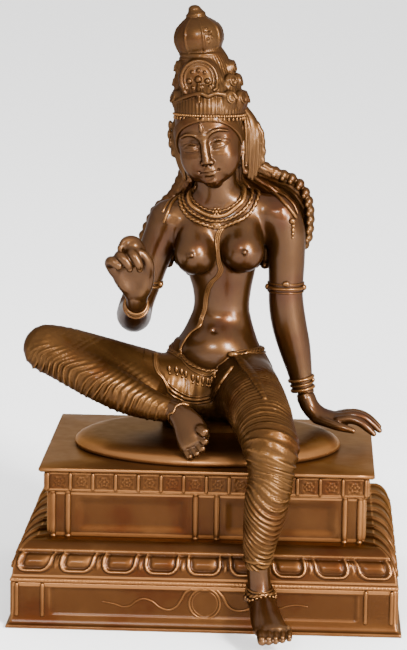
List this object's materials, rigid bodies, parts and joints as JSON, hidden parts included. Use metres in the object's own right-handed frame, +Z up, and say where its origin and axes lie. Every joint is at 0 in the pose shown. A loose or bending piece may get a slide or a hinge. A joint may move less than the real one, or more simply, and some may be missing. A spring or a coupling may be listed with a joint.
{
  "type": "parvati figure",
  "caption": "Bronze goddess seated on an oval cushion, one leg folded and one hanging over the front of a stepped rectangular lotus pedestal.",
  "frame": {"origin": "centre of the pedestal's underside, on the surface that it stands on", "axes": "+Z up, the figure faces -Y, +X towards the arm that she leans on"},
  "size_m": [0.2, 0.2062, 0.31],
  "materials": {
    "figure": "polished cast bronze with a dark brown patina, rubbed to bright copper on the folds, jewellery and other raised edges",
    "pedestal": "cast bronze with a satin brown patina, red-brown in the panels and rubbed to copper on the petal rims and bars"
  },
  "bodies": {
    "root": {"figure": "figure", "pedestal": "pedestal"}
  },
  "joints": []
}
